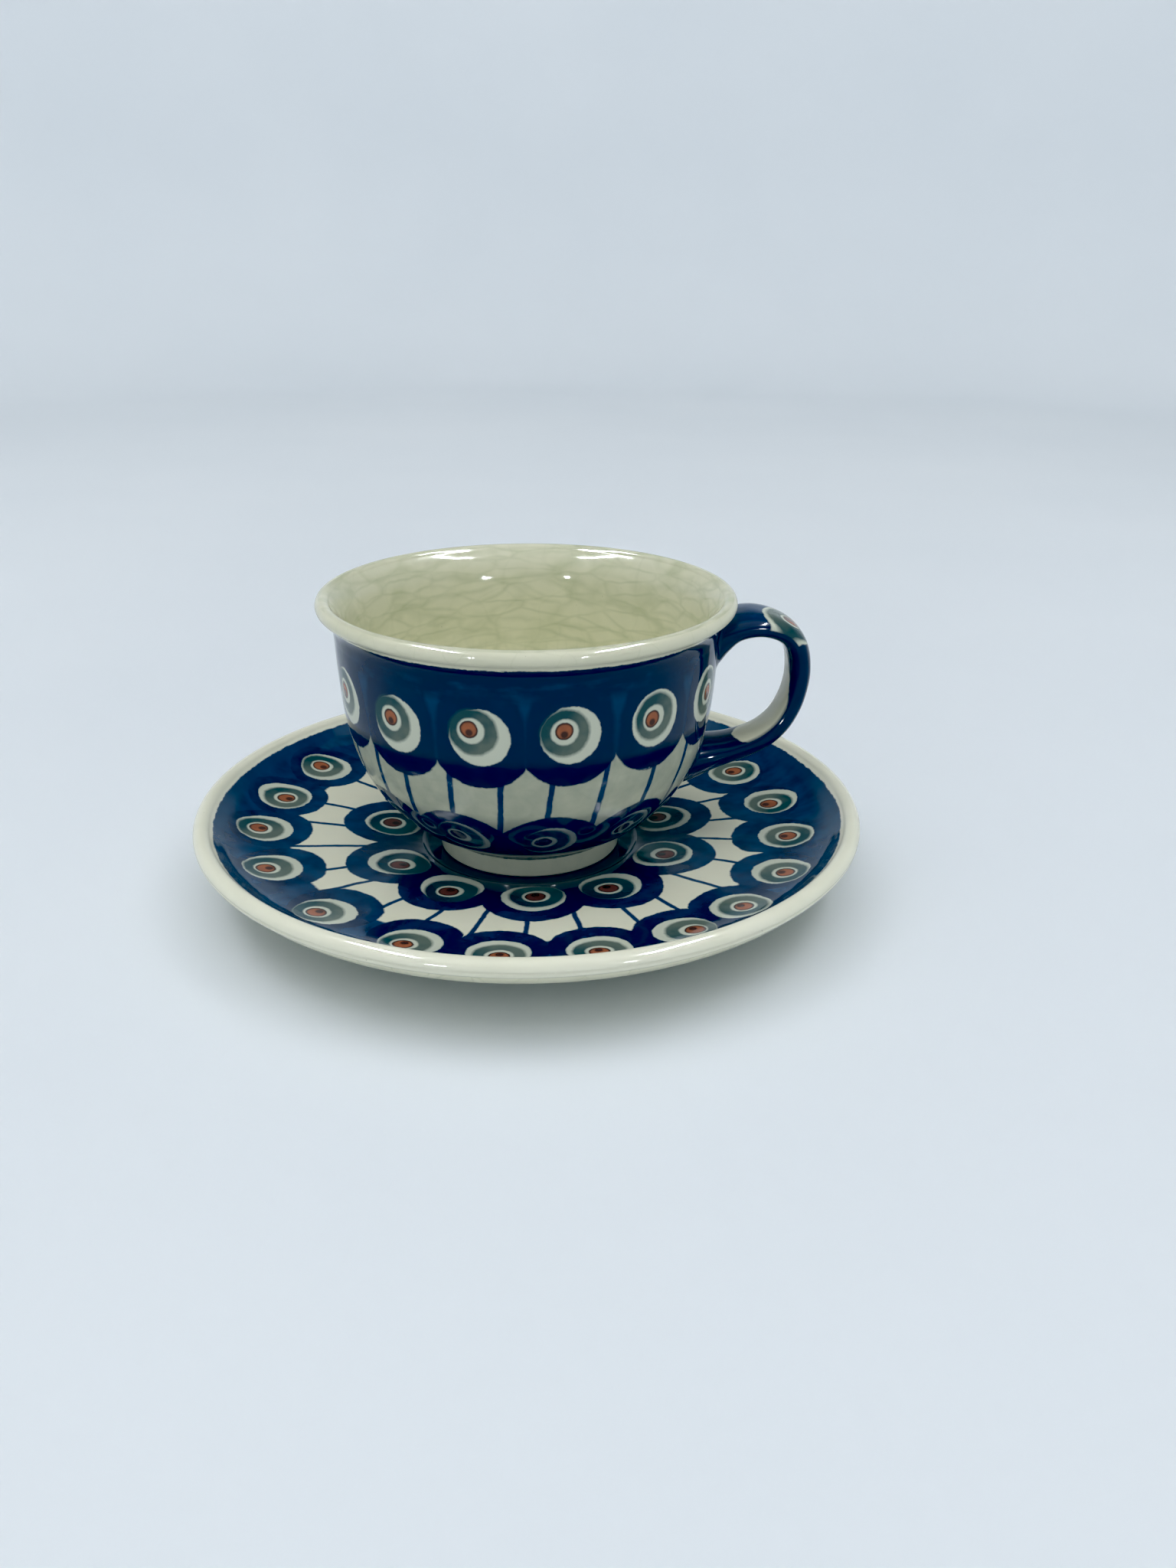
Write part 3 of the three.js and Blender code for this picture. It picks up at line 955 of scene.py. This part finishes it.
def handle_glaze():
    """Cobalt round the strap, an eye on its top bend, and bare cream on its inner face."""
    glaze = Glaze("painted_handle")
    surface, paint = glaze.surface, glaze.paint
    along, across, outer = surface.along, surface.kept("across"), surface.kept("outer")
    wobble = surface.grain(2.2, 1) * 0.2
    faded = surface.grain(4, 3)
    # Paler outer face, navy sides: partly brushwork, partly painted shade on the sides and inner face.
    paint.lay(blended(TEAL_BLUE, COBALT, (faded * 0.3 + outer * -0.25).clamped(1.0, 0.85)), 1.0)
    paint.lay(NAVY, outer.math("ABSOLUTE").below(0.6, 0.5) * 0.85)

    # The bare face narrows towards the strap's upper end.
    start, end = STRAP_BARE
    inside = outer.below(-0.62, 0.2) * (along + wobble * 2).above(start, 0.4)
    inside = inside * (across + along * 0.25 + wobble).above(4.0, 0.4)
    paint.lay(CREAM, inside * (along + across * 0.25 + wobble * 2).below(end, 0.4))

    aside, ahead, radii = STRAP_EYE
    eye = Paint(surface.tree, paint.colour)
    ring_at, dot_at = (0.1, 0.1), (0.4, 0.3)
    paint_eye(eye, across - aside, along - ahead, ring_at, dot_at, radii, UPPER_TONES, wobble, faded)
    paint.lay(eye.colour, outer.above(0.1, 0.1))
    return glaze.finished()


def slip_glaze(name, smear):
    """Painted slip at a root of the strap, where the blue thins out to cream in places."""
    glaze = Glaze(name)
    surface, paint = glaze.surface, glaze.paint
    bare = surface.grain(5, 51).above(smear, 0.4)
    tone = surface.grain(3, 52).clamped(0.3, 0.6)
    paint.lay(blended(COBALT, NAVY, tone), bare.clamped(-1.0, 1.0))
    return glaze.finished()


def raw_clay():
    """The dry, unglazed clay of a foot ring."""
    material, shader = new_material("raw_foot", CLAY_ROUGHNESS)
    surface = Surface(material.node_tree)
    pores = surface.grain(0.5, 12, 4.0)
    worn = (surface.grain(3, 13) * 0.4 + pores * 0.3).clamped(1.0, 0.4)
    plug(blended(RAW_CLAY, RAW_CLAY_DARK, worn), shader.inputs["Base Color"])
    raise_bumps(shader, pores * 0.03)
    return material


def paper():
    """The pale, matt sheet that the saucer stands on. Well above the object it darkens into painted
    shade.
    """
    material, shader = new_material("pale_paper", PAPER_ROUGHNESS)
    shader.inputs["Specular IOR Level"].default_value = 0.0
    surface = Surface(material.node_tree)
    clouds = surface.grain(160, 14).clamped(0.25, 0.4)
    split = surface.node("ShaderNodeSeparateXYZ")
    surface.tree.links.new(surface.place, split.inputs[0])
    height = Field(surface.tree, split.outputs[2])
    pale = blended(PAPER, PAPER_SHADE, clouds)
    plug(blended(pale, WALL_SHADE, height.above(0.5, 0.26)), shader.inputs["Base Color"])
    return material


# ------------------------------------ the object

def build_saucer():
    outline = saucer_outline()
    lengths = outline.lengths()
    from_axis = [lengths[-1] - length for length in lengths]
    looks = {"top": saucer_top_glaze(), "under": plain_glaze(), "foot": raw_clay()}
    return turned("saucer_glazed", outline, from_axis, 0, looks)


def build_bowl(outline, foot_end):
    lengths = outline.lengths()
    from_foot = [length - lengths[foot_end] for length in lengths]
    looks = {"outside": bowl_outside_glaze(), "inside": bowl_inside_glaze(),
             "under": plain_glaze(), "foot": raw_clay()}
    return turned("bowl_glazed", outline, from_foot, CUP_REST, looks)


def join_frame(piece, body, node):
    """Lets a piece ride on its body and stand for its node."""
    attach(piece, body)
    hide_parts(node)


def build_object():
    outline, foot_end = bowl_outline()
    upper = build_slip("slip_upper", outline, UPPER_ROOT, 1, slip_glaze("painted_slip_upper", 1.6))
    lower = build_slip("slip_lower", outline, LOWER_ROOT, -1, slip_glaze("painted_slip_lower", 0.9))
    join_frame(build_saucer(), "saucer", "saucer")
    join_frame(build_bowl(outline, foot_end), "cup", "cup_bowl")
    join_frame(build_strap(outline, handle_glaze()), "cup", "handle")
    join_frame(upper, "cup", "handle_joint_upper")
    join_frame(lower, "cup", "handle_joint_lower")


# ------------------------------------ floor, lights and camera

# The floor, the lamps and the camera are in metres.
FLOOR_FLAT = 1.0
FLOOR_BEND = 0.22
FLOOR_SIDES = 96
FLAT_STEPS = 4
BEND_STEPS = 16
WALL_RADIUS = FLOOR_FLAT + FLOOR_BEND
WALL_HEIGHTS = (0.4, 0.7, 1.5)


def build_floor():
    """A pale round sheet that lies flat under the saucer and sweeps up into a wall."""
    profile = [(FLOOR_FLAT * i / FLAT_STEPS, 0.0) for i in range(1, FLAT_STEPS + 1)]
    for i in range(1, BEND_STEPS + 1):
        turn = math.pi / 2 * i / BEND_STEPS
        profile.append((FLOOR_FLAT + FLOOR_BEND * math.sin(turn), FLOOR_BEND * (1 - math.cos(turn))))
    profile += [(WALL_RADIUS, height) for height in WALL_HEIGHTS]
    turns = [TAU * side / FLOOR_SIDES for side in range(FLOOR_SIDES)]
    points = [(0.0, 0.0, 0.0)]
    for radius, height in profile:
        points += [(radius * math.cos(t), radius * math.sin(t), height) for t in turns]
    faces = [(0, 1 + side, 1 + (side + 1) % FLOOR_SIDES) for side in range(FLOOR_SIDES)]
    for ring in range(len(profile) - 1):
        for side in range(FLOOR_SIDES):
            a = 1 + ring * FLOOR_SIDES + side
            b = 1 + ring * FLOOR_SIDES + (side + 1) % FLOOR_SIDES
            faces.append((a, a + FLOOR_SIDES, b + FLOOR_SIDES, b))
    mesh = bpy.data.meshes.new("floor")
    mesh.from_pydata(points, [], faces)
    mesh.materials.append(paper())
    mesh.polygons.foreach_set("use_smooth", [True] * len(faces))
    floor = bpy.data.objects.new("floor", mesh)
    bpy.context.scene.collection.objects.link(floor)


LAMP_COLOUR = (0.93, 0.97, 1.0)


def area_light(name, place, target, size, power, lit=True, mirrored=True):
    """A flat, slightly cool lamp that the camera doesn't see. It can light things up, be mirrored in
    the glaze, or both."""
    lamp = bpy.data.lights.new(name, "AREA")
    lamp.shape = "RECTANGLE"
    lamp.size, lamp.size_y = size
    lamp.energy = power
    lamp.color = LAMP_COLOUR
    light = bpy.data.objects.new(name, lamp)
    light.location = place
    light.rotation_mode = "QUATERNION"
    light.rotation_quaternion = (Vector(target) - Vector(place)).to_track_quat("-Z", "Y")
    light.visible_camera = False
    light.visible_diffuse = lit
    light.visible_glossy = mirrored
    bpy.context.scene.collection.objects.link(light)


STRIP_ASIDE, STRIP_BACK, STRIP_HEIGHT = 0.30, -0.065, 0.60
STRIP_LENGTH = 0.39
SPARK_ASIDE, SPARK_BACK, SPARK_HEIGHT = 0.47, -0.88, 0.17
WASH_RADIUS, WASH_HEIGHT = 0.5, 0.8
WASH_TARGET_HEIGHT = 0.25
TENT_STRENGTH = 0.62


def build_lights():
    """Two lamp strips overhead, each with a bright twin that only the glaze mirrors, two small lamps
    that it mirrors as sparks, and broad soft light from above, from in front and on the wall."""
    for side in (-1, 1):
        x, y = side * STRIP_ASIDE, STRIP_BACK
        place, target = (x, y, STRIP_HEIGHT), (x, y, 0)
        area_light("strip", place, target, (0.02, STRIP_LENGTH), power=0.5, mirrored=False)
        area_light("strip_glint", place, target, (0.014, STRIP_LENGTH), power=50.0, lit=False)
        place = (side * SPARK_ASIDE, SPARK_BACK, SPARK_HEIGHT)
        area_light("spark", place, (0, 0, 0.05), (0.08, 0.08), power=5.0, lit=False)
    area_light("soft", (-0.1, -0.2, 1.0), (-0.05, 0.0, 0), (1.9, 1.6), power=5.9)
    area_light("front", (-0.1, -1.0, 0.75), (0, 0, 0.03), (1.2, 0.5), power=1.7, mirrored=False)
    for turn in (0.0, 0.25, 0.5, 0.75):
        x, y = math.sin(turn * TAU), math.cos(turn * TAU)
        place = (WASH_RADIUS * x, WASH_RADIUS * y, WASH_HEIGHT)
        target = (WALL_RADIUS * x, WALL_RADIUS * y, WASH_TARGET_HEIGHT)
        area_light("wash", place, target, (0.7, 0.2), power=1.85, mirrored=False)
    world = bpy.data.worlds.new("tent")
    world.use_nodes = True
    bpy.context.scene.world = world
    background = world.node_tree.nodes["Background"]
    background.inputs["Color"].default_value = TENT
    background.inputs["Strength"].default_value = TENT_STRENGTH


# The camera's place, how far it looks down and to the right and how far it is rolled, and its lens.
CAMERA_PLACE = Vector((0, -0.29425, 0.14965))
CAMERA_DOWN, CAMERA_RIGHT, CAMERA_ROLL = (math.radians(a) for a in (23.315, 2.788, 0.485))
LENS_MM = 30
SENSOR_MM = 36

# The light that shows as black. It is higher in red, so that deep shadows look slightly blue.
BLACK_LEVEL = (0.018, 0.006, 0.006)


def build_camera():
    forward = Vector((math.sin(CAMERA_RIGHT) * math.cos(CAMERA_DOWN),
                      math.cos(CAMERA_RIGHT) * math.cos(CAMERA_DOWN), -math.sin(CAMERA_DOWN)))
    level = Vector((math.cos(CAMERA_RIGHT), -math.sin(CAMERA_RIGHT), 0))
    upright = level.cross(forward)
    right = level * math.cos(CAMERA_ROLL) + upright * math.sin(CAMERA_ROLL)
    top = upright * math.cos(CAMERA_ROLL) - level * math.sin(CAMERA_ROLL)
    lens = bpy.data.cameras.new("camera")
    lens.lens = LENS_MM
    lens.sensor_width = SENSOR_MM
    lens.clip_start = 0.01
    camera = bpy.data.objects.new("camera", lens)
    camera.matrix_world = Matrix((right, top, -forward)).transposed().to_4x4()
    camera.location = CAMERA_PLACE
    bpy.context.scene.collection.objects.link(camera)
    bpy.context.scene.camera = camera


build_camera()
build_object()
build_floor()
build_lights()
display = bpy.context.scene.view_settings
display.view_transform = "Standard"
display.use_curve_mapping = True
display.curve_mapping.black_level = BLACK_LEVEL
